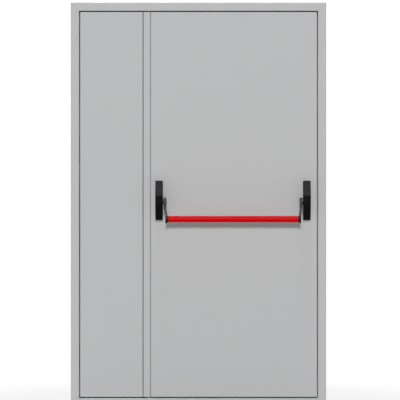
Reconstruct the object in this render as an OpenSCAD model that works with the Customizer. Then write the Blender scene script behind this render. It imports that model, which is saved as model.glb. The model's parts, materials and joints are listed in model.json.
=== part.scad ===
// Double fire exit door of sheet steel: a wide active leaf with a push bar, a narrow inactive leaf and their frame.
// +Z is up and +X is to the right for someone inside, who looks along +Y and pushes the bar.
// The origin is the middle of the threshold's underside, and the leaves open away, to +Y.

/* [Frame] */
// Overall width of the frame
frame_w = 1300; // [1200:10:1800]
// Overall height of the frame
frame_h = 2050; // [1900:10:2500]
// Depth of the frame from its inside face to its outside face
frame_d = 52; // [46:1:80]
// Width of the frame's face
frame_face = 42; // [36:1:60]
// Thickness of the frame's bent sheet
frame_sheet = 2; // [1.5:0.1:2.5]
// Inside radius of the bends in the frame's sheet
frame_bend = 1; // [0.5:0.1:2]
// Length of the lips that return along the wall
frame_lip = 15; // [8:1:15]
// Height of the threshold tube
threshold_h = 36; // [28:1:60]

/* [Seals] */
// Width of the intumescent strips in the frame
strip_w = 15; // [10:1:16]
// Thickness of the intumescent strips
strip_t = 2; // [1.5:0.5:3]
// Place of the strips' middle, measured outwards from mid frame
strip_y = 12; // [11:0.5:13]
// Distance from the strips' ends to the frame's corners
strip_end = 8; // [5:1:30]
// Space between the frame and the leaves' outer sheets, which the gasket fills
gasket_space = 5; // [4:0.5:8]
// Width of the rubber gasket
gasket_w = 8; // [5:0.5:9]
// Air between the gasket and a closed leaf
gasket_air = 0.4; // [0.3:0.1:1]

/* [Wall anchors] */
// Thickness of the anchor plates behind the frame's lips
anchor_t = 3; // [2:0.5:5]
// Length of an anchor plate along the jamb
anchor_len = 80; // [60:5:120]
// Diameter of the anchor holes
anchor_hole = 10.5; // [6:0.5:10.5]
// Place of the anchor holes, measured outwards from mid frame
anchor_y = -4; // [-5:0.5:-4]
// Diameter of the plugged holes through which the anchors are driven
plug_hole = 12; // [10:0.5:12]
// Length of a plug
plug_len = 8; // [4:1:12]
// Clearance of a plug in its hole
plug_fit = 0.1; // [0.05:0.05:0.3]
// Height of the lowest anchors
anchor_low = 200; // [150:10:300]
// Distance from the highest anchors to the top of the frame
anchor_high = 200; // [150:10:300]
// Number of anchors on each jamb
anchor_count = 4; // [4:1:6]

/* [Leaves] */
// Clearance between the leaves and the frame
leaf_gap = 6; // [5:0.5:8]
// Clearance between the two leaves
meeting_gap = 5; // [5:0.5:8]
// Width of the inactive leaf between its edges
inactive_w = 355; // [320:1:480]
// Thickness of the leaves' sheet steel
leaf_sheet = 1.5; // [1:0.1:2]
// Overlap of the outer sheets on the frame
flange_lap = 10; // [10:0.5:14]
// Width of the lips on which the outer sheets are fixed
leaf_lip = 14; // [10:1:25]
// Width of the inactive leaf's meeting stile
stile_w = 33; // [25:1:50]
// Width of the groove beside the meeting stile
groove_w = 5; // [3:0.5:6]
// Depth of the groove beside the meeting stile
groove_d = 4; // [3:0.5:6]
// Thickness of the sealant at the groove's bottom
sealant_t = 1.5; // [1:0.5:2.5]

/* [Meeting seals] */
// Height of the rubber lips as they stand out of the leaves' edges
lip_out = 2.7; // [1:0.1:2.7]
// Thickness of a rubber lip
lip_t = 1.2; // [0.8:0.1:2]
// Depth of the first lip behind the inside faces
lip_in = 3.5; // [3:0.5:6]
// Distance between the two leaves' lips
lip_step = 2.4; // [2:0.1:4]

/* [Meeting edge hardware] */
// Place of the hardware's middle, measured outwards from mid frame
hardware_y = -5; // [-6:0.5:-4]
// Width of the plates let into the meeting edges
faceplate_w = 20; // [18:1:24]
// Thickness of these plates
faceplate_t = 3; // [2:0.5:4]
// Length of the lock's faceplate
faceplate_len = 235; // [200:5:260]
// Length of the strike plate
strike_len = 160; // [120:5:200]
// Height of the lock's latch above the pivots
latch_up = 45; // [20:1:70]
// Height of the latch
latch_h = 34; // [24:1:40]
// Width of the latch
latch_w = 12; // [8:1:13]
// Distance from the drawn latch to the face of its plate
latch_back = 0.5; // [0.3:0.1:1]
// Clearance round the latch in its plate
latch_air = 0.5; // [0.3:0.1:1]
// Clearance round the latch in the strike plate
strike_air = 2; // [1:0.5:3]
// Depth of the lock's case behind its faceplate
case_d = 60; // [40:1:80]
// Height of the lock's case
case_h = 165; // [140:1:190]
// Width of the lock's case
case_w = 14; // [13:0.5:16]
// Diameter of the flush bolts
bolt_d = 10; // [8:0.5:10]
// Clearance round a flush bolt in its holes
bolt_air = 1; // [0.5:0.1:1]
// Length of a flush bolt's plate
bolt_plate_len = 180; // [150:5:220]
// Distance from the leaf's end to a flush bolt's plate
bolt_inset = 60; // [40:5:100]
// Height of the pocket in a flush bolt's plate
pocket_h = 86; // [70:1:100]
// Width of the pocket
pocket_w = 12; // [10:1:14]
// Depth of the pocket
pocket_d = 9; // [6:0.5:10]
// Height of the finger lever in the pocket
finger_h = 70; // [50:1:80]
// Width of the finger lever
finger_w = 7; // [5:0.5:8]

/* [Hinges] */
// Diameter of the hinge barrels
barrel_d = 20; // [16:1:24]
// Diameter of the hinge pins
pin_d = 12; // [8:0.5:12]
// Radial clearance of a pin in its bore
pin_clear = 0.05; // [0.03:0.01:0.2]
// Height of one half of a barrel
barrel_h = 68; // [50:1:80]
// Depth of a pin in the upper half
pin_in = 50; // [30:1:60]
// Thickness of the washer between two halves
washer_t = 3; // [2:0.5:5]
// Running clearance above a washer
washer_air = 0.2; // [0.1:0.1:0.5]
// Distance from the flange's edge to the hinge axis
hinge_out = 6; // [5:0.5:10]
// Distance from the outer sheet to a barrel
barrel_air = 1; // [1:0.5:3]
// Thickness of the straps that carry the barrels
strap_t = 6; // [4:0.5:8]
// Reach of a leaf's strap from the hinge axis
strap_reach = 26; // [18:1:40]
// Distance from a leaf's ends to its outer hinges
hinge_inset = 200; // [120:10:300]

/* [Push bar] */
// Distance from the active leaf's meeting edge to the latch side housing
latch_side_inset = 22.5; // [20:0.5:60]
// Distance from the active leaf's hinge edge to the hinge side housing
hinge_side_inset = 32.5; // [25:0.5:80]
// Height of the lever pivots above the floor
pivot_z = 1040; // [900:5:1100]
// Distance from the active leaf's inside face to the lever pivots
pivot_out = 35; // [30:1:36]
// Diameter of the crossbar
bar_d = 32; // [25:1:38]
// Wall thickness of the crossbar
bar_wall = 2; // [1:0.5:3]
// Distance from the pivots to the crossbar, measured inwards
bar_out = 75; // [70:1:90]
// Distance from the pivots down to the crossbar
bar_drop = 91.5; // [85:0.5:100]
// Depth to which a lever's spigot enters the crossbar
spigot_in = 25; // [10:1:40]
// Clearance of a spigot in the crossbar
spigot_clear = 0.1; // [0.05:0.05:0.3]

/* [Levers] */
// Thickness of a lever at its foot
lever_t = 8.5; // [6:0.5:10]
// Thickness of a lever at its hub
hub_t = 12.5; // [10:0.5:14]
// Sideways step of a lever's outer side between its hub and its foot
lever_crank = 9; // [6:0.5:10]
// Radius of a lever's hub
hub_r = 17; // [14:0.5:22]
// Radius of a lever's foot round the crossbar
foot_r = 21; // [19:0.5:28]
// Radius of the hollows that give a lever its waist
waist_r = 170; // [150:5:300]
// Depth of the waist on each side
waist_d = 4; // [2:0.5:6]
// Height of the upper bend of a lever below its pivot
bend_top = 40; // [35:1:45]
// Height over which a lever steps sideways
bend_h = 25; // [15:1:30]
// Diameter of the spindles that carry the levers
spindle_d = 16; // [12:0.5:18]

/* [Housings] */
// Width of a housing
housing_w = 38; // [32:1:48]
// Height of a housing above the pivots
housing_up = 103.5; // [90:0.5:120]
// Height of a housing below the pivots
housing_down = 97; // [80:1:110]
// Depth of a housing at its top
housing_top_d = 36; // [30:1:45]
// Depth of a housing at its ridge
housing_ridge_d = 62; // [58:1:75]
// Height of the ridge above the pivots
housing_ridge_up = 26; // [15:1:30]
// Depth of a housing at the fold below its ridge
housing_fold_d = 57; // [50:1:60]
// Distance of the fold below the pivots
housing_fold_down = 20; // [10:1:30]
// Depth of a housing at its foot
housing_foot_d = 30; // [24:1:40]
// Radius of a housing's corners, seen from the front
housing_corner = 5; // [4:0.5:8]
// Radius of the edges where a housing's front is folded
housing_round = 4; // [3:0.5:6]
// Wall thickness of a housing
housing_wall = 2; // [1.5:0.1:2.5]
// Thickness of the base plates
base_t = 3; // [2:0.5:5]
// Clearance between a lever and its housing
lever_air = 5; // [4.5:0.1:8]
// Thickness of a bearing's flange
bearing_flange = 3.5; // [2:0.5:4]
// Width of a bearing's wall round the spindle
bearing_wall = 4; // [3:0.5:5]
// Width of a bearing's flange beyond its wall
bearing_rim = 3; // [2:0.5:6]
// Length of a bearing inside its housing
bearing_len = 14; // [8:1:20]
// Clearance of a bearing in the housing's wall
bearing_fit = 0.1; // [0.05:0.05:0.3]

/* [Hidden] */
$fn = 96;

// Overshoot of a cut beyond the face that it opens
cut = 1;

// The frame's faces and the leaves' edges
web_x = frame_w / 2 - frame_face;
head_z = frame_h - frame_face;
front_y = -frame_d / 2;
rear_y = frame_d / 2;
leaf_x = web_x - leaf_gap;
leaf_bottom = threshold_h + leaf_gap;
leaf_top = head_z - leaf_gap;
leaf_h = leaf_top - leaf_bottom;
sheet_y = rear_y + gasket_space;
back_y = sheet_y + leaf_sheet;
flange_x = web_x + flange_lap;
flange_top = head_z + flange_lap;
flange_bottom = threshold_h - flange_lap;

// Hinge axes, at plus and minus hinge_x
hinge_x = flange_x + hinge_out;
hinge_y = back_y + barrel_air + barrel_d / 2;
hinge_heights = [leaf_bottom + hinge_inset, (leaf_bottom + leaf_top) / 2, leaf_top - hinge_inset];
anchor_step = (frame_h - anchor_low - anchor_high) / (anchor_count - 1);
anchor_heights = [for (i = [0 : anchor_count - 1]) anchor_low + i * anchor_step];

// Meeting edges: each is square to the arc of the other leaf's inside corner, so that either leaf opens first
inactive_edge = inactive_w - leaf_x;
active_edge = inactive_edge + meeting_gap;
hinge_depth = hinge_y - front_y;
active_slope = hinge_depth / (hinge_x + inactive_edge);
inactive_slope = hinge_depth / (hinge_x - active_edge);
stile_x = inactive_edge - stile_w;
groove_x = stile_x - groove_w;
tongue_y = front_y + groove_d;

// The push bar's device
device_left = active_edge + latch_side_inset;
device_right = leaf_x - hinge_side_inset;
device_mid = (device_left + device_right) / 2;
pivot_y = front_y - pivot_out;
housing_in = (device_right - device_left) / 2 - housing_w;
lever_out = housing_in - lever_air;
bar_len = 2 * (lever_out - lever_t - lever_crank);
bearing_r = spindle_d / 2 + bearing_wall;
spigot_r = bar_d / 2 - bar_wall - spigot_clear;
lever_reach = norm([bar_out, bar_drop]);
lever_angle = atan2(bar_drop, bar_out);

// Hardware in the meeting edges
latch_z = pivot_z + latch_up;
guide_d = bolt_d + 2 * bolt_air;
guide_h = (bolt_plate_len - pocket_h) / 4;
leaf_mid = (leaf_bottom + leaf_top) / 2;
bolt_plate_z = leaf_top - bolt_inset - bolt_plate_len / 2;

// Meeting edge of the active leaf at depth y
function active_edge_at(y) = active_edge + (y - front_y) * active_slope;
// Meeting edge of the inactive leaf at depth y
function inactive_edge_at(y) = inactive_edge - (y - front_y) * inactive_slope;
bolt_x = inactive_edge_at(hardware_y) - faceplate_t - guide_d / 2;

module rounded_rect(size, r) {
    translate([r, 0]) square([size.x - 2 * r, size.y]);
    translate([0, r]) square([size.x, size.y - 2 * r]);
    for (x = [r, size.x - r], y = [r, size.y - r])
        translate([x, y]) circle(r = r);
}

// Unit vector to the right of an edge
function outward(edge) = [edge.y, -edge.x] / norm(edge);

// A polygon of points that run anticlockwise, grown outwards by r with round corners
module rounded_outline(points, r) {
    count = len(points);
    polygon([for (i = [0 : count - 1], edge = [points[i] - points[(i + count - 1) % count],
        points[(i + 1) % count] - points[i]]) points[i] + r * outward(edge)]);
    for (point = points)
        translate(point) circle(r = r);
}

// Stands a drawing of width and height upright, so that it faces along Y and is depth thick from y
module upright(y, depth) {
    translate([0, y + depth, 0]) rotate([90, 0, 0]) linear_extrude(depth) children();
}

// Turns a drawing of depth (Y) and height (Z) to face along X, from x and width wide
module sideways(x, width) {
    translate([x, 0, 0]) rotate([90, 0, 90]) linear_extrude(width) children();
}

// Hole for a flush bolt through a level sheet with its underside at z
module bolt_hole(z, thick) {
    translate([bolt_x, hardware_y, z - cut]) cylinder(d = bolt_d + 2 * bolt_air, h = thick + 2 * cut);
}

module both_sides() {
    children();
    mirror([1, 0, 0]) children();
}

// Frame

// Bent section of jambs and head: x from the opening to the wall, y from inside to outside
module frame_section() {
    inner_d = frame_d - 2 * frame_sheet;
    difference() {
        union() {
            difference() {
                translate([0, front_y]) rounded_rect([frame_face, frame_d], frame_bend + frame_sheet);
                translate([frame_sheet, front_y + frame_sheet])
                    rounded_rect([frame_face - 2 * frame_sheet, inner_d], frame_bend);
                translate([frame_face - frame_sheet - cut, front_y + frame_lip])
                    square([frame_sheet + 2 * cut, frame_d - 2 * frame_lip]);
            }
            translate([0, strip_y - strip_w / 2 - frame_sheet])
                square([strip_t + frame_sheet, strip_w + 2 * frame_sheet]);
        }
        translate([-cut, strip_y - strip_w / 2]) square([strip_t + cut, strip_w]);
    }
}

// Outline above or below the mitre at the right corner of the head
module mitre_half(above) {
    low = [web_x - cut, head_z - cut];
    high = [frame_w / 2 + cut, frame_h + cut];
    polygon([low, high, above ? [low.x, high.y] : [high.x, low.y]]);
}

module jamb() {
    difference() {
        translate([web_x, 0, 0]) linear_extrude(frame_h) frame_section();
        upright(front_y - cut, frame_d + 2 * cut) mitre_half(true);
        for (z = anchor_heights)
            translate([web_x - cut, anchor_y, z]) rotate([0, 90, 0])
                cylinder(d = plug_hole, h = frame_sheet + 2 * cut);
    }
}

module right_jamb() {
    color("silver") jamb();
}

module left_jamb() {
    color("silver") mirror([1, 0, 0]) jamb();
}

module head() {
    color("silver") difference() {
        translate([frame_w / 2, 0, head_z]) rotate([0, -90, 0]) linear_extrude(frame_w) frame_section();
        both_sides() upright(front_y - cut, frame_d + 2 * cut) mitre_half(false);
        bolt_hole(head_z, frame_sheet);
    }
}

module threshold() {
    color("silver") difference() {
        sideways(-web_x, 2 * web_x) difference() {
            translate([front_y, 0]) rounded_rect([frame_d, threshold_h], frame_bend + frame_sheet);
            translate([front_y + frame_sheet, frame_sheet])
                rounded_rect([frame_d - 2 * frame_sheet, threshold_h - 2 * frame_sheet], frame_bend);
        }
        bolt_hole(threshold_h - frame_sheet, frame_sheet);
    }
}

// Plates behind the lips of the right jamb
module anchor_plates() {
    plate_w = frame_d - 2 * (frame_sheet + frame_bend);
    for (z = anchor_heights)
        difference() {
            translate([frame_w / 2 - frame_sheet - anchor_t, -plate_w / 2, z - anchor_len / 2])
                cube([anchor_t, plate_w, anchor_len]);
            translate([frame_w / 2 - frame_sheet - anchor_t - cut, anchor_y, z]) rotate([0, 90, 0])
                cylinder(d = anchor_hole, h = anchor_t + 2 * cut);
        }
}

module right_anchor_plates() {
    color("gainsboro") anchor_plates();
}

module left_anchor_plates() {
    color("gainsboro") mirror([1, 0, 0]) anchor_plates();
}

module anchor_hole_plugs() {
    color("silver") both_sides() for (z = anchor_heights)
        translate([web_x, anchor_y, z]) rotate([0, 90, 0])
            cylinder(d = plug_hole - 2 * plug_fit, h = plug_len);
}

module intumescent_strips() {
    color("dimgray") {
        both_sides() translate([web_x, strip_y - strip_w / 2, threshold_h])
            cube([strip_t, strip_w, head_z - threshold_h - strip_end]);
        translate([strip_end - web_x, strip_y - strip_w / 2, head_z])
            cube([2 * (web_x - strip_end), strip_w, strip_t]);
    }
}

module frame_gasket() {
    margin = (flange_lap - gasket_w) / 2;
    color("black") upright(rear_y, gasket_space - gasket_air) difference() {
        translate([-web_x - margin - gasket_w, threshold_h - margin - gasket_w])
            square([2 * (web_x + margin + gasket_w), head_z - threshold_h + 2 * (margin + gasket_w)]);
        translate([-web_x - margin, threshold_h - margin])
            square([2 * (web_x + margin), head_z - threshold_h + 2 * margin]);
    }
}

// Hinges

// Outline of a frame half: the barrel and the foot that stands on the frame's outside face
module base_outline() {
    circle(d = barrel_d);
    translate([0, rear_y - hinge_y]) square([barrel_d / 2, hinge_y - rear_y]);
}

// Outline of a leaf half: the barrel and the strap that lies on the outer sheet
module knuckle_outline() {
    circle(d = barrel_d);
    translate([-strap_reach, back_y - hinge_y]) square([strap_reach, strap_t]);
}

// Lower halves with their pins, at the right jamb
module hinge_bases() {
    for (z = hinge_heights)
        translate([hinge_x, hinge_y, z - barrel_h]) {
            linear_extrude(barrel_h) base_outline();
            cylinder(d = pin_d, h = barrel_h + washer_t + washer_air + pin_in);
        }
}

// Washers on the lower halves, at the right jamb
module hinge_washers() {
    for (z = hinge_heights)
        translate([hinge_x, hinge_y, z]) difference() {
            cylinder(d = barrel_d, h = washer_t);
            translate([0, 0, -cut]) cylinder(d = pin_d + 2 * pin_clear, h = washer_t + 2 * cut);
        }
}

// Upper halves, bored for the pins and closed at the top, for the right jamb
module hinge_knuckles() {
    for (z = hinge_heights)
        translate([hinge_x, hinge_y, z + washer_t + washer_air]) difference() {
            linear_extrude(barrel_h) knuckle_outline();
            translate([0, 0, -cut]) cylinder(d = pin_d + 2 * pin_clear, h = pin_in + 2 * cut);
        }
}

module right_hinge_bases() {
    color("silver") hinge_bases();
}

module left_hinge_bases() {
    color("silver") mirror([1, 0, 0]) hinge_bases();
}

module right_hinge_washers() {
    color("goldenrod") hinge_washers();
}

module left_hinge_washers() {
    color("goldenrod") mirror([1, 0, 0]) hinge_washers();
}

module active_hinge_knuckles() {
    color("silver") hinge_knuckles();
}

module inactive_hinge_knuckles() {
    color("silver") mirror([1, 0, 0]) hinge_knuckles();
}

// Leaves

// Plan of the active leaf's tray, drawn in by wall on every side but the back
module active_plan(wall, back) {
    y = front_y + wall;
    polygon([[active_edge_at(y) + wall, y], [leaf_x - wall, y],
        [leaf_x - wall, back], [active_edge_at(back) + wall, back]]);
}

// Plan of a piece in a meeting edge, between two depths below the edge's face: side is 1 for the active leaf
module edge_plan(side, width, near, far) {
    edge = [for (y = [hardware_y - width / 2, hardware_y + width / 2])
        [side > 0 ? active_edge_at(y) : inactive_edge_at(y), y]];
    polygon([edge[0] + [side * near, 0], edge[0] + [side * far, 0],
        edge[1] + [side * far, 0], edge[1] + [side * near, 0]]);
}

// Extrudes a plan to a height of tall, with its middle at z
module at_height(z, tall) {
    translate([0, 0, z - tall / 2]) linear_extrude(tall) children();
}

// Sheet tray of the active leaf, with lips at the back
module active_inner_sheet() {
    inside = leaf_sheet + leaf_lip;
    color("silver") difference() {
        at_height(leaf_mid, leaf_h) active_plan(0, sheet_y);
        at_height(leaf_mid, leaf_h - 2 * leaf_sheet) active_plan(leaf_sheet, sheet_y - leaf_sheet);
        at_height(leaf_mid, leaf_h - 2 * inside) active_plan(inside, sheet_y + cut);
        at_height(pivot_z, faceplate_len) edge_plan(1, faceplate_w, -cut, leaf_sheet + cut);
    }
}

module active_outer_sheet() {
    color("silver") translate([0, 0, flange_bottom]) linear_extrude(flange_top - flange_bottom)
        polygon([[active_edge_at(sheet_y), sheet_y], [flange_x, sheet_y],
            [flange_x, back_y], [active_edge_at(back_y), back_y]]);
}

// Sheet tray of the inactive leaf, which ends at the groove
module inactive_inner_sheet() {
    inside = leaf_sheet + leaf_lip;
    color("silver") difference() {
        translate([-leaf_x, front_y, leaf_bottom])
            cube([leaf_x + groove_x, sheet_y - front_y, leaf_h]);
        translate([-leaf_x + leaf_sheet, front_y + leaf_sheet, leaf_bottom + leaf_sheet])
            cube([leaf_x + groove_x - 2 * leaf_sheet, sheet_y - front_y - 2 * leaf_sheet,
                leaf_h - 2 * leaf_sheet]);
        translate([-leaf_x + inside, front_y + inside, leaf_bottom + inside])
            cube([leaf_x + groove_x - 2 * inside, sheet_y - front_y, leaf_h - 2 * inside]);
    }
}

module inactive_outer_sheet() {
    color("silver") translate([0, 0, flange_bottom]) linear_extrude(flange_top - flange_bottom)
        polygon([[-flange_x, sheet_y], [inactive_edge_at(sheet_y), sheet_y],
            [inactive_edge_at(back_y), back_y], [-flange_x, back_y]]);
}

// Folded box at the inactive leaf's meeting edge, whose tongue closes the groove
module meeting_stile() {
    inner_y = tongue_y + leaf_sheet;
    color("silver") difference() {
        at_height(leaf_mid, leaf_h) polygon([[groove_x, tongue_y], [stile_x, tongue_y], [stile_x, front_y],
            [inactive_edge, front_y], [inactive_edge_at(sheet_y), sheet_y], [groove_x, sheet_y]]);
        at_height(leaf_mid, leaf_h - 2 * leaf_sheet)
            polygon([[groove_x + leaf_sheet, inner_y], [inactive_edge_at(inner_y) - leaf_sheet, inner_y],
                [inactive_edge_at(sheet_y - leaf_sheet) - leaf_sheet, sheet_y - leaf_sheet],
                [groove_x + leaf_sheet, sheet_y - leaf_sheet]]);
        at_height(latch_z, strike_len) edge_plan(-1, faceplate_w, -cut, leaf_sheet + cut);
        at_both_ends() at_height(bolt_plate_z, bolt_plate_len)
            edge_plan(-1, faceplate_w, -cut, leaf_sheet + cut);
        at_both_ends() bolt_hole(leaf_top - leaf_sheet, leaf_sheet);
    }
}

module groove_sealant() {
    color("gray") at_height(leaf_mid, leaf_h)
        translate([groove_x, tongue_y - sealant_t]) square([groove_w, sealant_t]);
}

// Repeats a piece of the leaf's top end at its bottom end
module at_both_ends() {
    children();
    translate([0, 0, 2 * leaf_mid]) mirror([0, 0, 1]) children();
}

module strike_plate() {
    color("gainsboro") difference() {
        at_height(latch_z, strike_len) edge_plan(-1, faceplate_w, 0, faceplate_t);
        at_height(latch_z, latch_h + 2 * strike_air)
            edge_plan(-1, latch_w + 2 * strike_air, -cut, faceplate_t + cut);
    }
}

// Flush bolts, drawn back: a plate with a finger lever in its pocket, and a bolt that slides to the leaf's end
module flush_bolts() {
    guide_z = bolt_plate_z + pocket_h / 2 + guide_h;
    floor_d = pocket_d + faceplate_t;
    color("gainsboro") at_both_ends() {
        difference() {
            union() {
                at_height(bolt_plate_z, bolt_plate_len) edge_plan(-1, faceplate_w, 0, faceplate_t);
                at_height(bolt_plate_z, pocket_h + 2 * faceplate_t)
                    edge_plan(-1, pocket_w + faceplate_t, faceplate_t / 2, floor_d);
            }
            at_height(bolt_plate_z, pocket_h) edge_plan(-1, pocket_w, -cut, pocket_d);
        }
        at_height(bolt_plate_z, finger_h) edge_plan(-1, finger_w, faceplate_t / 2, floor_d);
        at_height(guide_z, guide_h)
            edge_plan(-1, pocket_w + faceplate_t, faceplate_t / 2, faceplate_t + guide_d);
        translate([bolt_x, hardware_y, guide_z]) cylinder(d = bolt_d, h = leaf_top - guide_z);
    }
}

// Faceplate of the lock in the active leaf's meeting edge
module lock_faceplate() {
    color("gainsboro") difference() {
        at_height(pivot_z, faceplate_len) edge_plan(1, faceplate_w, 0, faceplate_t);
        at_height(latch_z, latch_h + 2 * latch_air)
            edge_plan(1, latch_w + 2 * latch_air, -cut, faceplate_t + cut);
    }
}

// Closed case of the lock, with the latch drawn back into the faceplate
module lock_case() {
    color("gainsboro") {
        at_height(pivot_z, case_h) edge_plan(1, case_w, faceplate_t, faceplate_t + case_d);
        at_height(latch_z, latch_h) edge_plan(1, latch_w, latch_back, faceplate_t + case_d);
    }
}

// Rubber lips that close the gap between the leaves and pass each other
module inactive_meeting_seal() {
    y = front_y + lip_in + lip_step;
    color("gray") translate([0, 0, leaf_bottom]) linear_extrude(leaf_h)
        polygon([[inactive_edge_at(y), y], [inactive_edge_at(y) + lip_out, y],
            [inactive_edge_at(y + lip_t) + lip_out, y + lip_t], [inactive_edge_at(y + lip_t), y + lip_t]]);
}

module active_meeting_seal() {
    y = front_y + lip_in;
    color("gray") translate([0, 0, leaf_bottom]) linear_extrude(leaf_h)
        polygon([[active_edge_at(y) - lip_out, y], [active_edge_at(y), y],
            [active_edge_at(y + lip_t), y + lip_t], [active_edge_at(y + lip_t) - lip_out, y + lip_t]]);
}

// Push bar device

// Places a piece of the hinge side of the device, drawn with its x measured from the device's middle
module at_hinge_side() {
    translate([device_mid, 0, 0]) children();
}

module at_latch_side() {
    translate([device_mid, 0, 0]) mirror([1, 0, 0]) children();
}

// Corners of a housing's side outline, r inside its real outline
function housing_points(r) = [
    [front_y, pivot_z - housing_down + r],
    [front_y, pivot_z + housing_up - r],
    [front_y - housing_top_d + r, pivot_z + housing_up - r],
    [front_y - housing_ridge_d + r, pivot_z + housing_ridge_up],
    [front_y - housing_fold_d + r, pivot_z - housing_fold_down],
    [front_y - housing_foot_d + r, pivot_z - housing_down + r]
];

// Front outline of a housing, drawn in by wall
module housing_front(wall) {
    translate([housing_in + wall, pivot_z - housing_down + wall])
        rounded_rect([housing_w - 2 * wall, housing_up + housing_down - 2 * wall], housing_corner - wall);
}

module base_plate() {
    upright(front_y - base_t, base_t) housing_front(0);
}

// Solid form of a housing, drawn in by wall: its side outline, cut to its front outline
module housing_form(wall) {
    intersection() {
        sideways(housing_in, housing_w)
            rounded_outline(housing_points(housing_round), housing_round - wall);
        upright(front_y - base_t - housing_ridge_d, housing_ridge_d) housing_front(wall);
    }
}

// Hollow cover with the bearing's hole in its inner side
module cover() {
    difference() {
        housing_form(0);
        housing_form(housing_wall);
        translate([housing_in - cut, pivot_y, pivot_z]) rotate([0, 90, 0])
            cylinder(r = bearing_r + bearing_fit, h = housing_wall + 2 * cut);
    }
}

// Flanged bush in the cover's inner side
module bearing() {
    translate([housing_in, pivot_y, pivot_z]) rotate([0, 90, 0]) difference() {
        union() {
            translate([0, 0, -bearing_flange]) cylinder(r = bearing_r + bearing_rim, h = bearing_flange);
            translate([0, 0, -bearing_flange]) cylinder(r = bearing_r, h = bearing_flange + bearing_len);
        }
        translate([0, 0, -bearing_flange - cut])
            cylinder(d = spindle_d + 2 * pin_clear, h = bearing_flange + bearing_len + 2 * cut);
    }
}

// Side outline of a lever: a hub, a foot round the crossbar and a waist between them
module lever_outline() {
    lean = asin((foot_r - hub_r) / lever_reach);
    normal = [sin(lean), cos(lean)];
    translate([pivot_y, pivot_z]) rotate(180 + lever_angle) {
        circle(r = hub_r);
        translate([lever_reach, 0]) circle(r = foot_r);
        difference() {
            polygon([[-normal.x, normal.y] * hub_r, [-normal.x, -normal.y] * hub_r,
                [lever_reach, 0] + [-normal.x, -normal.y] * foot_r,
                [lever_reach, 0] + [-normal.x, normal.y] * foot_r]);
            for (side = [-1, 1])
                translate([lever_reach / 2, side * ((hub_r + foot_r) / 2 + waist_r - waist_d)])
                    circle(r = waist_r);
        }
    }
}

// Front outline of a lever: it steps towards the crossbar below its hub
module lever_strip() {
    high = pivot_z + hub_r + cut;
    low = pivot_z - bar_drop - foot_r - cut;
    bend_z = pivot_z - bend_top;
    polygon([[lever_out - hub_t, high], [lever_out - hub_t, bend_z],
        [lever_out - lever_t - lever_crank, bend_z - bend_h], [lever_out - lever_t - lever_crank, low],
        [lever_out - lever_crank, low], [lever_out - lever_crank, bend_z - bend_h],
        [lever_out, bend_z], [lever_out, high]]);
}

// Cranked lever with the spindle in its hub and the spigot in its foot
module lever() {
    intersection() {
        sideways(bar_len / 2 - cut, lever_t + lever_crank + 2 * cut) lever_outline();
        upright(pivot_y - bar_out - foot_r - cut, bar_out + 2 * foot_r + hub_r) lever_strip();
    }
    translate([lever_out - hub_t / 2, pivot_y, pivot_z]) rotate([0, 90, 0])
        cylinder(d = spindle_d, h = hub_t / 2 + lever_air + bearing_len);
    translate([bar_len / 2 - spigot_in, pivot_y - bar_out, pivot_z - bar_drop]) rotate([0, 90, 0])
        cylinder(r = spigot_r, h = spigot_in + lever_t / 2);
}

module latch_side_base_plate() {
    color("dimgray") at_latch_side() base_plate();
}

module hinge_side_base_plate() {
    color("dimgray") at_hinge_side() base_plate();
}

module latch_side_cover() {
    color("black") at_latch_side() cover();
}

module hinge_side_cover() {
    color("black") at_hinge_side() cover();
}

module latch_side_bearing() {
    color("dimgray") at_latch_side() bearing();
}

module hinge_side_bearing() {
    color("dimgray") at_hinge_side() bearing();
}

module latch_side_lever() {
    color("black") at_latch_side() lever();
}

module hinge_side_lever() {
    color("black") at_hinge_side() lever();
}

module crossbar() {
    color("crimson") translate([device_mid - bar_len / 2, pivot_y - bar_out, pivot_z - bar_drop])
        rotate([0, 90, 0]) difference() {
            cylinder(d = bar_d, h = bar_len);
            translate([0, 0, -cut]) cylinder(d = bar_d - 2 * bar_wall, h = bar_len + 2 * cut);
        }
}

left_jamb();
right_jamb();
head();
threshold();
left_anchor_plates();
right_anchor_plates();
anchor_hole_plugs();
intumescent_strips();
frame_gasket();
left_hinge_bases();
right_hinge_bases();
left_hinge_washers();
right_hinge_washers();
inactive_inner_sheet();
inactive_outer_sheet();
meeting_stile();
groove_sealant();
inactive_hinge_knuckles();
inactive_meeting_seal();
strike_plate();
flush_bolts();
active_inner_sheet();
active_outer_sheet();
active_hinge_knuckles();
active_meeting_seal();
lock_faceplate();
lock_case();
latch_side_base_plate();
hinge_side_base_plate();
latch_side_cover();
hinge_side_cover();
latch_side_bearing();
hinge_side_bearing();
latch_side_lever();
hinge_side_lever();
crossbar();
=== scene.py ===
import json
import math

import bmesh
import bpy
from mathutils import Matrix, Vector


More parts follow.
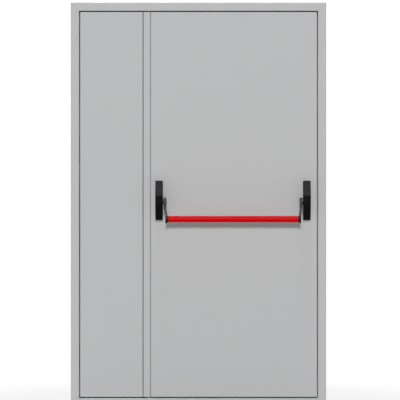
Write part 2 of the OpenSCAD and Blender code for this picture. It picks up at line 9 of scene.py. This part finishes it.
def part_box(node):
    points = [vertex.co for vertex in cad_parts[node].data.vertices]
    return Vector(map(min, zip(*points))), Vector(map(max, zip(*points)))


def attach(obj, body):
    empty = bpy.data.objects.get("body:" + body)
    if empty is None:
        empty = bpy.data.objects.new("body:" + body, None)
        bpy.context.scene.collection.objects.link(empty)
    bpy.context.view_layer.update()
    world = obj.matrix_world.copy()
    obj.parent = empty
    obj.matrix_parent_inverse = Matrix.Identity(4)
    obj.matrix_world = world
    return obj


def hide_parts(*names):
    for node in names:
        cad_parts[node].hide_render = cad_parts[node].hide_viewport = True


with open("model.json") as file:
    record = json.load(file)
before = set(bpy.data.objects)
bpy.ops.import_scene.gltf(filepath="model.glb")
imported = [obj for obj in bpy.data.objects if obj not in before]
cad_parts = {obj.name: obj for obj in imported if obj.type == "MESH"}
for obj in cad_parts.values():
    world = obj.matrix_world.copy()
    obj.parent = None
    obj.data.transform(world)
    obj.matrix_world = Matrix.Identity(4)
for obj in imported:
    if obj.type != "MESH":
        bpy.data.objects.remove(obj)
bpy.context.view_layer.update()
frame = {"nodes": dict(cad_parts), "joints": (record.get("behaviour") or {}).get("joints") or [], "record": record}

scene = bpy.context.scene
nodes = frame["nodes"]
print("frame loaded,", len(nodes), "nodes")


# Camera, as the photo was taken: square to the door from far away

photo = {
    "width": 400,                  # pixels across
    "metresPerPixel": 0.005093,    # at the leaves' inside faces
    "middle": (0.0075, 1.0448),    # x and z at the middle of the picture
    "distance": 12.0,
    "sensor": 36.0,
}


def makeCamera(spec):
    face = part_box("active_inner_sheet")[0].y
    seen = spec["width"] * spec["metresPerPixel"]
    data = bpy.data.cameras.new("camera")
    data.sensor_width = spec["sensor"]
    data.lens = spec["sensor"] * spec["distance"] / seen
    camera = bpy.data.objects.new("camera", data)
    camera.location = (spec["middle"][0], face - spec["distance"], spec["middle"][1])
    camera.rotation_euler = (math.radians(90), 0, 0)
    scene.collection.objects.link(camera)
    scene.camera = camera


makeCamera(photo)
scene.view_settings.view_transform = "Standard"
print("camera placed")


# Node trees

class Wire:
    # A socket in a node tree: Python's operators on it add Math nodes
    def __init__(self, tree, socket=None):
        self.tree = tree
        self.socket = socket

    def add(self, kind, settings=None, sockets=None, output=0):
        node = self.tree.nodes.new(kind)
        for name, value in (settings or {}).items():
            setattr(node, name, value)
        for name, value in (sockets or {}).items():
            if isinstance(value, Wire):
                self.tree.links.new(value.socket, node.inputs[name])
            else:
                node.inputs[name].default_value = value
        return Wire(self.tree, node.outputs[output] if node.outputs else None)

    def maths(self, operation, first, second):
        return self.add("ShaderNodeMath", {"operation": operation}, {0: first, 1: second})

    def __add__(self, other):
        return self.maths("ADD", self, other)

    def __radd__(self, other):
        return self.maths("ADD", other, self)

    def __sub__(self, other):
        return self.maths("SUBTRACT", self, other)

    def __rsub__(self, other):
        return self.maths("SUBTRACT", other, self)

    def __mul__(self, other):
        return self.maths("MULTIPLY", self, other)

    def __rmul__(self, other):
        return self.maths("MULTIPLY", other, self)

    def __gt__(self, other):
        return self.maths("GREATER_THAN", self, other)

    def __lt__(self, other):
        return self.maths("LESS_THAN", self, other)


def newTree(name):
    material = bpy.data.materials.new(name)
    material.use_nodes = True
    material.node_tree.nodes.clear()
    return material, Wire(material.node_tree)


def shade(colour, factor):
    return (*[channel * factor for channel in colour], 1)


def blendColours(start, factor, first, second):
    # Mix of two colours, each a tuple or a link
    return start.add("ShaderNodeMix", {"data_type": "RGBA"}, {0: factor, 6: first, 7: second}, 2)


def noise(start, place, scale, detail=2.0, roughness=0.5):
    return start.add("ShaderNodeTexNoise", {}, {
        "Vector": place, "Scale": scale, "Detail": detail, "Roughness": roughness}, "Fac")


def stretched(start, place, scales):
    return start.add("ShaderNodeMapping", {}, {"Vector": place, "Scale": scales})


def softEdge(start, radius):
    # Rounds the shading over edges, as paint and moulding do
    return start.add("ShaderNodeBevel", {"samples": 4}, {"Radius": radius})


def surface(start, sockets):
    shader = start.add("ShaderNodeBsdfPrincipled", {}, sockets)
    start.add("ShaderNodeOutputMaterial", {}, {"Surface": shader})


# Finishes, one for each material of the record

doorPaint = {
    "colour": (0.497, 0.503, 0.508),
    "roughness": 0.46,
    "peelScale": 420,          # grain of the powder coat, about 2 mm
    "peelHeight": 0.00009,
    "flowScale": 45,           # long soft waves in the sheet
    "flowHeight": 0.00022,
    "toneScale": 1.7,
    "toneStep": 0.02,
    "edge": 0.0011,            # rounding of bent and cut edges under the paint
}


def powderCoat(name, spec):
    material, start = newTree(name)
    place = start.add("ShaderNodeTexCoord", output="Object")
    peel = noise(start, place, spec["peelScale"], 3)
    flow = noise(start, place, spec["flowScale"], 1)
    tone = noise(start, place, spec["toneScale"], 4, 0.6)
    waves = start.add("ShaderNodeBump", {}, {
        "Height": flow, "Strength": 0.5, "Distance": spec["flowHeight"],
        "Normal": softEdge(start, spec["edge"])})
    bump = start.add("ShaderNodeBump", {}, {
        "Height": peel, "Strength": 0.8, "Distance": spec["peelHeight"], "Normal": waves})
    colour = blendColours(start, tone, shade(spec["colour"], 1 - spec["toneStep"]),
                          shade(spec["colour"], 1 + spec["toneStep"]))
    surface(start, {
        "Base Color": colour,
        "Roughness": spec["roughness"] + 0.12 * (peel - 0.5) + 0.08 * (tone - 0.5),
        "IOR": 1.5,
        "Normal": bump,
    })
    return material


zincCoat = {
    "colour": (0.55, 0.57, 0.6),
    "roughness": 0.36,
    "spangle": 90,
    "brush": (30, 30, 900),
    "film": 14,
    "shares": (0.45, 0.25, 0.3),      # of spangle, brush marks and film in the tone
    "scratchDepth": 0.00005,
    "edge": 0.0004,
}


def zincPlate(name, spec):
    material, start = newTree(name)
    place = start.add("ShaderNodeTexCoord", output="Object")
    cell = start.add("ShaderNodeTexVoronoi", {}, {
        "Vector": place, "Scale": spec["spangle"]}, "Color")
    level = start.add("ShaderNodeSeparateColor", {}, {"Color": cell}, "Red")
    scratch = noise(start, stretched(start, place, spec["brush"]), 1.0, 4)
    film = noise(start, place, spec["film"], 3)
    shares = spec["shares"]
    tone = shares[0] * level + shares[1] * scratch + shares[2] * film
    surface(start, {
        "Base Color": blendColours(start, tone, shade(spec["colour"], 0.84),
                                   shade(spec["colour"], 1.12)),
        "Metallic": 0.9,
        "Roughness": spec["roughness"] + 0.16 * (level - 0.5) + 0.1 * (scratch - 0.5),
        "Normal": start.add("ShaderNodeBump", {}, {
            "Height": scratch, "Strength": 0.35, "Distance": spec["scratchDepth"],
            "Normal": softEdge(start, spec["edge"])}),
    })
    return material


brassTurned = {
    "colour": (0.66, 0.47, 0.2),
    "roughness": 0.28,
    "tarnish": (0.36, 0.24, 0.1),
    "tarnishShare": 0.75,
    "tarnishScale": 120,
    "grooves": 70,
    "grooveStretch": (1, 1, 60),      # turning marks run round the washers
    "grooveDepth": 0.00004,
}


def turnedBrass(name, spec):
    material, start = newTree(name)
    place = start.add("ShaderNodeTexCoord", output="Object")
    groove = noise(start, stretched(start, place, spec["grooveStretch"]), spec["grooves"], 2)
    film = noise(start, place, spec["tarnishScale"], 4, 0.6)
    surface(start, {
        "Base Color": blendColours(start, spec["tarnishShare"] * film, (*spec["colour"], 1),
                                   (*spec["tarnish"], 1)),
        "Metallic": 1.0,
        "Roughness": spec["roughness"] + 0.25 * film,
        "Normal": start.add("ShaderNodeBump", {}, {
            "Height": groove, "Strength": 0.4, "Distance": spec["grooveDepth"]}),
    })
    return material


mouldings = {
    "grey_plastic": {
        "colour": (0.44, 0.445, 0.45), "roughness": 0.5, "gloss": 0.4,
        "grain": 900, "depth": 0.00003, "edge": 0.0004},
    "black_plastic": {
        "colour": (0.0036, 0.0038, 0.0036), "roughness": 0.43, "gloss": 0.055,
        # The last value tints faces that look up paler: dust, and painted top light
        "grain": 1100, "depth": 0.00007, "edge": 0.0013, "dustAndTopLight": 0.085},
    "bearing": {
        "colour": (0.02, 0.02, 0.021), "roughness": 0.3, "gloss": 0.3,
        "grain": 400, "depth": 0.00002, "edge": 0.0005},
    "black_rubber": {
        "colour": (0.016, 0.016, 0.017), "roughness": 0.74, "gloss": 0.4,
        "grain": 600, "depth": 0.00008, "edge": 0.0003},
    "grey_rubber": {
        "colour": (0.15, 0.153, 0.156), "roughness": 0.7, "gloss": 0.4,
        "grain": 600, "depth": 0.00006, "edge": 0.0003},
}
rubbedScale = 26
# Colour of that pale film: dust, and painted top light on faces that look up
dustAndTopLightColour = (0.3, 0.31, 0.3, 1)


def dustAndPaintedTopLight(start, amount):
    # How much pale film lies on a face, from the way that it looks: none on an upright one. It is dust, and
    # painted top light: faces that look up are made paler as if lit from above
    way = start.add("ShaderNodeTexCoord", output="Normal")
    up = start.add("ShaderNodeSeparateXYZ", {}, {"Vector": way}, "Z")
    return start.add("ShaderNodeMapRange", {"interpolation_type": "SMOOTHSTEP"}, {
        "Value": up, "From Min": 0.02, "From Max": 0.4, "To Min": 0.0, "To Max": amount})


def moulded(name, spec):
    # Plastic and rubber: spark-eroded grain, rubbed a little smoother in patches
    material, start = newTree(name)
    place = start.add("ShaderNodeTexCoord", output="Object")
    grain = noise(start, place, spec["grain"], 2)
    rubbed = noise(start, place, rubbedScale, 4, 0.6)
    colour = blendColours(start, rubbed, shade(spec["colour"], 0.9),
                          shade(spec["colour"], 1.12))
    # Faces that look up are tinted paler: dust, and painted top light
    if "dustAndTopLight" in spec:
        film = dustAndPaintedTopLight(start, spec["dustAndTopLight"]) * (0.7 + 0.6 * rubbed)
        colour = blendColours(start, film, colour, dustAndTopLightColour)
    surface(start, {
        "Base Color": colour,
        "Roughness": spec["roughness"] + 0.14 * (rubbed - 0.5) + 0.1 * (grain - 0.5),
        "Specular IOR Level": spec["gloss"],
        "Normal": start.add("ShaderNodeBump", {}, {
            "Height": grain, "Strength": 0.6, "Distance": spec["depth"],
            "Normal": softEdge(start, spec["edge"])}),
    })
    return material


foamStrip = {
    "colour": (0.075, 0.075, 0.078),
    "fleck": (0.2, 0.2, 0.205),
    "roughness": 0.62,
    "flakes": 800,
    "flakeSize": 0.22,                # share of a cell
    "flakeDepth": 0.00008,
    "clouds": 160,
}


def graphiteStrip(name, spec):
    # Swelling strip: dark graphite with paler flakes under a thin film
    material, start = newTree(name)
    place = start.add("ShaderNodeTexCoord", output="Object")
    flakes = start.add("ShaderNodeTexVoronoi", {}, {
        "Vector": place, "Scale": spec["flakes"]}, "Distance")
    cloud = noise(start, place, spec["clouds"], 4)
    surface(start, {
        "Base Color": blendColours(start, (flakes < spec["flakeSize"]) * cloud,
                                   (*spec["colour"], 1), (*spec["fleck"], 1)),
        "Roughness": spec["roughness"] + 0.2 * (cloud - 0.5),
        "Normal": start.add("ShaderNodeBump", {}, {
            "Height": flakes, "Strength": 0.3, "Distance": spec["flakeDepth"]}),
    })
    return material


enamels = {
    "black_enamel": {
        "colour": (0.016, 0.0164, 0.0168), "roughness": 0.42, "gloss": 0.14,
        "peel": 700, "peelHeight": 0.00005, "edge": 0.0009},
    "red_paint": {
        "colour": (0.66, 0.001, 0.004), "roughness": 0.22, "gloss": 0.03,
        "peel": 320, "peelHeight": 0.00006, "edge": 0.0006},
}
handledScale = 18


def stovedEnamel(name, spec):
    material, start = newTree(name)
    place = start.add("ShaderNodeTexCoord", output="Object")
    peel = noise(start, place, spec["peel"], 2)
    handled = noise(start, place, handledScale, 4, 0.65)      # worn a little duller by hands
    surface(start, {
        "Base Color": blendColours(start, handled, shade(spec["colour"], 0.93),
                                   shade(spec["colour"], 1.08)),
        "Roughness": spec["roughness"] + 0.14 * (handled - 0.5) + 0.05 * (peel - 0.5),
        "Specular IOR Level": spec["gloss"],
        "Normal": start.add("ShaderNodeBump", {}, {
            "Height": peel, "Strength": 0.5, "Distance": spec["peelHeight"],
            "Normal": softEdge(start, spec["edge"])}),
    })
    return material


finishes = {
    "frame_paint": powderCoat("frame_paint", doorPaint),
    "leaf_paint": powderCoat("leaf_paint", doorPaint),
    "zinc": zincPlate("zinc", zincCoat),
    "brass": turnedBrass("brass", brassTurned),
    "intumescent": graphiteStrip("intumescent", foamStrip),
}
for slot, spec in mouldings.items():
    finishes[slot] = moulded(slot, spec)
for slot, spec in enamels.items():
    finishes[slot] = stovedEnamel(slot, spec)

for part in frame["record"]["subparts"]:
    mesh = nodes[part["node"]].data
    mesh.materials.clear()
    mesh.materials.append(finishes[part["material_slot"]])
print("finishes made,", len(finishes))


# Floor, background and light

studio = {
    "floorSize": 9.0,
    "floorColour": (0.64, 0.64, 0.64),
    "floorGlow": 0.66,         # share of plain white that the camera sees in the floor
    "fadeFrom": 0.75,          # metres from the door where the floor starts to fade
    "fadeOver": 1.1,
    "skyLight": 0.13,
    # Degrees above the floor and round the door, degrees across, strength
    "lamps": {
        "key": (15.5, -1, 8, 1.5),
        "top": (87, 0, 12, 1.5),
        "outside": (38, 200, 30, 1.6),
    },
}


def seenDirectly(start):
    # 1 for camera, glossy and transmission rays
    path = start.add("ShaderNodeLightPath").socket.node
    rays = [Wire(start.tree, path.outputs[name])
            for name in ("Is Camera Ray", "Is Glossy Ray", "Is Transmission Ray")]
    return start.maths("MINIMUM", rays[0] + rays[1] + rays[2], 1.0)


def makeFloor(spec):
    mesh = bmesh.new()
    bmesh.ops.create_grid(mesh, x_segments=1, y_segments=1, size=spec["floorSize"])
    data = bpy.data.meshes.new("floor")
    mesh.to_mesh(data)
    mesh.free()
    floor = bpy.data.objects.new("floor", data)
    scene.collection.objects.link(floor)
    material, start = newTree("floor")
    place = start.add("ShaderNodeTexCoord", output="Object")
    reach = start.add("ShaderNodeVectorMath", {"operation": "LENGTH"}, {0: place}, "Value")
    fade = start.add("ShaderNodeMapRange", {"interpolation_type": "SMOOTHSTEP"}, {
        "Value": reach, "From Min": spec["fadeFrom"],
        "From Max": spec["fadeFrom"] + spec["fadeOver"]})
    matt = start.add("ShaderNodeBsdfDiffuse", {}, {"Color": (*spec["floorColour"], 1)})
    white = start.add("ShaderNodeEmission", {}, {"Color": (1, 1, 1, 1), "Strength": 1.0})
    direct = seenDirectly(start)
    look = start.add("ShaderNodeMixShader", {}, {
        0: direct * spec["floorGlow"], 1: matt, 2: white})
    look = start.add("ShaderNodeMixShader", {}, {0: direct * fade, 1: look, 2: white})
    start.add("ShaderNodeOutputMaterial", {}, {"Surface": look})
    data.materials.append(material)


def makeSky(spec):
    world = bpy.data.worlds.new("studio")
    scene.world = world
    world.use_nodes = True
    world.node_tree.nodes.clear()
    start = Wire(world.node_tree)
    direct = seenDirectly(start)
    light = start.add("ShaderNodeBackground", {}, {
        "Color": (1, 1, 1, 1), "Strength": spec["skyLight"] + direct * (1 - spec["skyLight"])})
    start.add("ShaderNodeOutputWorld", {}, {"Surface": light})


def makeLamp(name, rise, turn, spread, strength):
    # Parallel light, so the door is lit evenly from top to bottom
    data = bpy.data.lights.new(name, "SUN")
    data.energy = strength
    data.angle = math.radians(spread)
    lamp = bpy.data.objects.new(name, data)
    lamp.rotation_euler = (math.radians(90 - rise), 0, math.radians(turn))
    scene.collection.objects.link(lamp)


makeFloor(studio)
makeSky(studio)
for name, values in studio["lamps"].items():
    makeLamp(name, *values)
print("floor, background and lamps placed")


# Small parts that the solids leave out

roundSteps = 24             # round a screw's head
stripDepth = 0.002          # of the intumescent strips in the head


def jointPlace(name):
    return Vector(next(joint for joint in frame["joints"] if joint["name"] == name)["pos_m"])


def gapEnds():
    # Heights of the faces above and below the meeting gap, each with the way that it looks
    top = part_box("intumescent_strips")[1].z - stripDepth
    return (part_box("threshold")[1].z, 1), (top, -1)


def cornersOf(grown):
    return [item for item in grown if isinstance(item, bmesh.types.BMVert)]


def revolve(profile, steps):
    # Turns a profile of (radius, height) round Z
    mesh = bmesh.new()
    points = [mesh.verts.new((radius, 0, height)) for radius, height in profile]
    edges = [mesh.edges.new(pair) for pair in zip(points, points[1:])]
    bmesh.ops.spin(mesh, geom=points + edges, cent=(0, 0, 0), axis=(0, 0, 1),
                   angle=2 * math.pi, steps=steps, use_merge=True)
    bmesh.ops.remove_doubles(mesh, verts=mesh.verts, dist=0.000001)
    bmesh.ops.recalc_face_normals(mesh, faces=mesh.faces)
    return mesh


def closeHoles(mesh):
    bmesh.ops.holes_fill(mesh, edges=mesh.edges, sides=0)
    bmesh.ops.recalc_face_normals(mesh, faces=mesh.faces)


def aimed(place, direction):
    # Moves a mesh that stands on Z to a place, with Z turned to a direction
    turn = Vector((0, 0, 1)).rotation_difference(Vector(direction)).to_matrix().to_4x4()
    return Matrix.Translation(place) @ turn


def addTo(target, mesh, matrix=Matrix()):
    data = bpy.data.meshes.new("part")
    mesh.to_mesh(data)
    data.transform(matrix)
    target.from_mesh(data)
    bpy.data.meshes.remove(data)


def makePiece(name, mesh, body, slot, crease=35):
    data = bpy.data.meshes.new(name)
    mesh.to_mesh(data)
    mesh.free()
    data.polygons.foreach_set("use_smooth", [True] * len(data.polygons))
    data.set_sharp_from_angle(angle=math.radians(crease))
    data.materials.append(finishes[slot])
    piece = bpy.data.objects.new(name, data)
    scene.collection.objects.link(piece)
    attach(piece, body)
    return piece


def socketScrew(radius, height, socket, depth, dome):
    # Round head with a hexagon socket, standing on Z
    rim = socket * 1.25
    shoulder = dome * 0.4
    mesh = revolve([(0, 0), (radius, 0), (radius, height - dome),
                    (radius - shoulder, height - shoulder),
                    (radius - dome, height), (rim, height)], roundSteps)
    hexagon = bmesh.ops.create_circle(mesh, segments=6, radius=socket,
                                      matrix=Matrix.Translation((0, 0, height)))
    inner = list({edge for point in hexagon["verts"] for edge in point.link_edges})
    outer = [edge for edge in mesh.edges if edge.is_boundary]
    bmesh.ops.bridge_loops(mesh, edges=inner + outer)
    walls = bmesh.ops.extrude_edge_only(mesh, edges=inner)["geom"]
    bmesh.ops.translate(mesh, verts=cornersOf(walls), vec=(0, 0, -depth))
    closeHoles(mesh)
    return mesh


crossHead = {                # shares of a head's radius and height
    "flank": 0.6, "top": 0.94,
    "dishTop": 0.42, "dishFloor": 0.3, "dishHeight": 0.2,
    "flute": 0.25,
}


def countersunk(radius, height):
    # Flat head with a cross recess: a shallow dish, drawn out into four flutes
    shape = crossHead
    floor = height * shape["dishHeight"]
    mesh = revolve([(0, 0), (radius, 0), (radius, height * shape["flank"]),
                    (radius * shape["top"], height), (radius * shape["dishTop"], height),
                    (radius * shape["dishFloor"], floor), (0, floor)], roundSteps)
    dish = [face for face in mesh.faces if abs(face.normal.z) < 0.95
            and max(point.co.xy.length for point in face.verts) < radius * 0.5]
    rim = {point for face in dish for point in face.verts if point.co.xy.length > radius * 0.4}
    for turn in range(4):
        way = Vector((math.cos(turn * math.pi / 2), math.sin(turn * math.pi / 2)))
        near = [point for point in rim if point.co.xy.normalized().dot(way) > 0.98]
        bmesh.ops.translate(mesh, verts=near, vec=(way * radius * shape["flute"]).to_3d())
    return mesh


# Crossbar: end collars, hub screws and foot screws

barParts = {
    "collarLength": 0.006, "collarGrow": 0.0007, "collarSink": 0.0003, "collarBevel": 0.0005,
    "hubStep": 0.005,       # from the bar's end to the lever's inside face at its hub
    "hubScrew": (0.0105, 0.0011, 0.0036, 0.0008, 0.0005),   # the values of socketScrew
    "footWidth": 0.0085, "footRadius": 0.021,
    "footScrew": (0.0034, 0.0009, 0.0018, 0.0007, 0.0003),
}


def makeBarParts(spec):
    low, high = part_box("crossbar")
    middle = (low + high) / 2
    radius = (high.z - low.z) / 2
    inner = radius - spec["collarSink"]
    outer = radius + spec["collarGrow"]
    bevel = spec["collarBevel"]
    length = spec["collarLength"]
    ring = revolve([(inner, 0), (outer - bevel, 0), (outer, bevel), (outer, length - bevel),
                    (outer - bevel, length), (inner, length), (inner, 0)], 64)
    hubScrew = socketScrew(*spec["hubScrew"])
    footScrew = socketScrew(*spec["footScrew"])
    pivot = jointPlace("push_bar_swing")
    collars = bmesh.new()
    screws = bmesh.new()
    for end, inward in ((low.x, 1), (high.x, -1)):
        addTo(collars, ring, aimed((end, middle.y, middle.z), (inward, 0, 0)))
        face = Vector((end - inward * spec["hubStep"], pivot.y, pivot.z))
        addTo(screws, hubScrew, aimed(face, (inward, 0, 0)))
        foot = Vector((end - inward * spec["footWidth"] / 2, middle.y,
                       middle.z - spec["footRadius"]))
        addTo(screws, footScrew, aimed(foot, (0, 0, -1)))
    makePiece("bar_collars", collars, "push_bar", "black_plastic")
    makePiece("lever_screws", screws, "push_bar", "black_enamel")


makeBarParts(barParts)


# Housings: cover screws in the outer sides

coverScrews = {
    "head": (0.0036, 0.0011),       # radius and height
    "fromLeaf": 0.0105,
    "fromEnds": 0.026,
}


def makeCoverScrews(spec):
    screw = countersunk(*spec["head"])
    screws = bmesh.new()
    for node, side in (("latch_side_cover", 0), ("hinge_side_cover", 1)):
        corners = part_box(node)
        for z in (corners[0].z + spec["fromEnds"], corners[1].z - spec["fromEnds"]):
            place = (corners[side].x, corners[1].y - spec["fromLeaf"], z)
            addTo(screws, screw, aimed(place, (2 * side - 1, 0, 0)))
    makePiece("cover_screws", screws, "active_leaf", "zinc")


makeCoverScrews(coverScrews)
print("crossbar parts and cover screws made")


# Hinges: adjusting screws on top, weld beads along the straps and feet

hingeParts = {
    "capScrew": (0.0068, 0.0016, 0.0025, 0.0014, 0.0006),
    "barrelHeight": 0.068,
    "strapReach": 0.026,      # from the pins to the straps' ends
    "strapRoot": 0.011,       # from the pins to the inner ends of the straps' beads
    "footReach": 0.01,
    "footRoot": 0.001,
}
weld = {
    "radius": 0.0021,
    "rise": 0.0006,           # of a bead's middle above the sheet
    "ripple": 0.0026,         # length of one ripple
    "dip": 0.86, "tip": 0.35,     # shares of the radius between ripples and at the ends
    "sides": 10,
}


def nextRing(mesh, edges):
    # Extrudes a closed ring of edges, and gives the new ring's corners and edges
    grown = bmesh.ops.extrude_edge_only(mesh, edges=edges)["geom"]
    ring = cornersOf(grown)
    return ring, [item for item in grown if isinstance(item, bmesh.types.BMEdge)
                  and all(point in ring for point in item.verts)]


def weldBead(start, end):
    # A rod of ripples from one point to another, drawn in at its ends
    start = Vector(start)
    way = Vector(end) - start
    count = round(way.length / weld["ripple"]) * 2
    sizes = [weld["tip"]] + [1.0 if step % 2 else weld["dip"] for step in range(count - 1)]
    sizes.append(weld["tip"])
    mesh = bmesh.new()
    bmesh.ops.create_circle(mesh, segments=weld["sides"], radius=weld["radius"] * sizes[0])
    edges = list(mesh.edges)
    for before, size in zip(sizes, sizes[1:]):
        ring, edges = nextRing(mesh, edges)
        bmesh.ops.scale(mesh, verts=ring, vec=(size / before, size / before, 1))
        bmesh.ops.translate(mesh, verts=ring, vec=(0, 0, way.length / count))
    closeHoles(mesh)
    bmesh.ops.transform(mesh, matrix=aimed(start, way), verts=mesh.verts)
    return mesh


def makeHingeParts(spec):
    tall = spec["barrelHeight"]
    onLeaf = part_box("active_outer_sheet")[1].y + weld["rise"]
    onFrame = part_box("right_jamb")[1].y + weld["rise"]
    screw = socketScrew(*spec["capScrew"])
    for side, leaf in ((1, "active"), (-1, "inactive")):
        low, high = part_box(leaf + "_hinge_knuckles")
        step = (high.z - low.z - tall) / 2
        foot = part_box(("right" if side > 0 else "left") + "_hinge_bases")[0].z
        pin = jointPlace(leaf + "_leaf_swing")
        strapEnd = pin.x - side * spec["strapReach"]
        strapRoot = pin.x - side * spec["strapRoot"]
        footEnd = pin.x + side * spec["footReach"]
        footRoot = pin.x + side * spec["footRoot"]
        caps = bmesh.new()
        strapBeads = bmesh.new()
        footBeads = bmesh.new()
        for number in range(3):
            bottom = low.z + number * step
            top = bottom + tall
            addTo(caps, screw, aimed((pin.x, pin.y, top), (0, 0, 1)))
            for z in (bottom, top):
                addTo(strapBeads, weldBead((strapEnd, onLeaf, z), (strapRoot, onLeaf, z)))
            addTo(strapBeads, weldBead((strapEnd, onLeaf, bottom), (strapEnd, onLeaf, top)))
            base = foot + number * step
            addTo(footBeads, weldBead((footEnd, onFrame, base), (footEnd, onFrame, base + tall)))
            addTo(footBeads, weldBead((footRoot, onFrame, base), (footEnd, onFrame, base)))
        makePiece(leaf + "_hinge_screws", caps, leaf + "_leaf", "zinc")
        makePiece(leaf + "_hinge_welds", strapBeads, leaf + "_leaf", "leaf_paint", 80)
        makePiece(leaf + "_frame_welds", footBeads, "frame", "frame_paint", 80)


makeHingeParts(hingeParts)
print("hinge parts made")


# Meeting edges: screws of the plates let into them

edgeScrews = {
    "head": (0.0034, 0.0007),
    "fromEnds": 0.011,
    "boltMiddles": (0.192, 1.852),    # heights of the flush bolts' plates
    "boltReach": 0.08,                # from those middles to the screws
}


def edgeFace(node, outward):
    # Middle of the plate's face and the way it looks: it leans with the leaf's edge
    low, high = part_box(node)
    corners = [point.co for point in nodes[node].data.vertices]
    front = max(outward * point.x for point in corners if point.y < low.y + 0.0001) * outward
    back = max(outward * point.x for point in corners if point.y > high.y - 0.0001) * outward
    direction = Vector((high.y - low.y, front - back, 0)) * outward
    return Vector(((front + back) / 2, (low.y + high.y) / 2, 0)), direction.normalized()


def makeEdgeScrews(spec):
    screw = countersunk(*spec["head"])
    rows = {}
    for node in ("lock_faceplate", "strike_plate"):
        low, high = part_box(node)
        rows[node] = [low.z + spec["fromEnds"], high.z - spec["fromEnds"]]
    for middle in spec["boltMiddles"]:
        rows["strike_plate"] += [middle - spec["boltReach"], middle + spec["boltReach"]]
    for node, body, outward in (("lock_faceplate", "active_leaf", -1),
                                ("strike_plate", "inactive_leaf", 1)):
        place, direction = edgeFace(node, outward)
        screws = bmesh.new()
        for z in rows[node]:
            addTo(screws, screw, aimed((place.x, place.y, z), direction))
        makePiece(node + "_screws", screws, body, "zinc")


makeEdgeScrews(edgeScrews)


# Rubber gasket with a bulb, in place of the plain ring

gasketShape = {
    # Millimetres across and out, of the base and then the bulb
    "profile": ((-4, 0), (4, 0), (4, 1), (3.1, 1.2), (2.9, 2.2), (2.3, 3.4), (1.3, 4.2),
                (0, 4.5), (-1.3, 4.2), (-2.3, 3.4), (-2.9, 2.2), (-3.1, 1.2), (-4, 1)),
}


def makeGasket(spec):
    # One corner's section, carried round the ring by turning it over from corner to corner
    low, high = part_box("frame_gasket")
    half = max(u for u, v in spec["profile"]) / 1000
    centre = Vector((high.x - half, low.y, high.z - half))
    level = (low.z + high.z) / 2
    mesh = bmesh.new()
    points = [mesh.verts.new((centre.x + u / 1000, centre.y + v / 1000, centre.z + u / 1000))
              for u, v in spec["profile"]]
    edges = [mesh.edges.new(pair) for pair in zip(points, points[1:] + points[:1])]
    for flip in ((-1, 1, 1), (1, 1, -1), (-1, 1, 1), (1, 1, -1)):
        ring, edges = nextRing(mesh, edges)
        bmesh.ops.scale(mesh, verts=ring, vec=flip, space=Matrix.Translation((0, 0, -level)))
    bmesh.ops.remove_doubles(mesh, verts=mesh.verts, dist=0.00001)
    bmesh.ops.recalc_face_normals(mesh, faces=mesh.faces)
    piece = makePiece("gasket", mesh, "frame", "black_rubber", 50)
    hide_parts("frame_gasket")


makeGasket(gasketShape)


# Ribbed rubber pads on the head and the threshold, where the gap between the leaves ends

meetingPads = {
    "middle": -0.237,                 # x of the gap at the outside face
    "length": 0.026,
    "from": 0.003, "depth": 0.018,    # y
    "base": 0.0012,
    "ribs": 3, "ribHeight": 0.0034, "ribFoot": 0.0016, "ribTip": 0.0008,
}


def makeMeetingPads(spec):
    outline = [(0, 0), (spec["depth"], 0), (spec["depth"], spec["base"])]
    for number in reversed(range(spec["ribs"])):
        y = spec["depth"] * (number + 0.5) / spec["ribs"]
        foot, tip = spec["ribFoot"] / 2, spec["ribTip"] / 2
        outline += [(y + foot, spec["base"]), (y + tip, spec["ribHeight"]),
                    (y - tip, spec["ribHeight"]), (y - foot, spec["base"])]
    outline.append((0, spec["base"]))
    start = spec["middle"] - spec["length"] / 2
    pads = bmesh.new()
    for height, up in gapEnds():
        pad = bmesh.new()
        face = pad.faces.new([pad.verts.new((start, spec["from"] + y, height + up * z))
                              for y, z in outline])
        grown = bmesh.ops.extrude_face_region(pad, geom=[face])["geom"]
        bmesh.ops.translate(pad, verts=cornersOf(grown), vec=(spec["length"], 0, 0))
        bmesh.ops.recalc_face_normals(pad, faces=pad.faces)
        addTo(pads, pad)
    makePiece("meeting_pads", pads, "frame", "black_rubber")


makeMeetingPads(meetingPads)


# Bushes that the flush bolts slide into, pressed into the head and the threshold

boltBushes = {
    "place": (-0.2577, -0.005),     # x and y of the flush bolts
    "bore": 0.0061, "rim": 0.0095, "rimHeight": 0.0012, "rimBevel": 0.0006,
    "wall": 0.0003, "depth": 0.012,
}


def makeBoltBushes(spec):
    bore, rim, height, depth = spec["bore"], spec["rim"], spec["rimHeight"], spec["depth"]
    outside = bore + spec["wall"]
    bush = revolve([(bore, -depth), (bore, height), (rim - spec["rimBevel"], height),
                    (rim, height / 2), (rim, 0), (outside, 0), (outside, -depth),
                    (bore, -depth)], 32)
    bushes = bmesh.new()
    for height, up in gapEnds():
        addTo(bushes, bush, aimed((*spec["place"], height), (0, 0, up)))
    makePiece("bolt_bushes", bushes, "frame", "zinc")


makeBoltBushes(boltBushes)
print("edge screws, gasket, pads and bushes made")
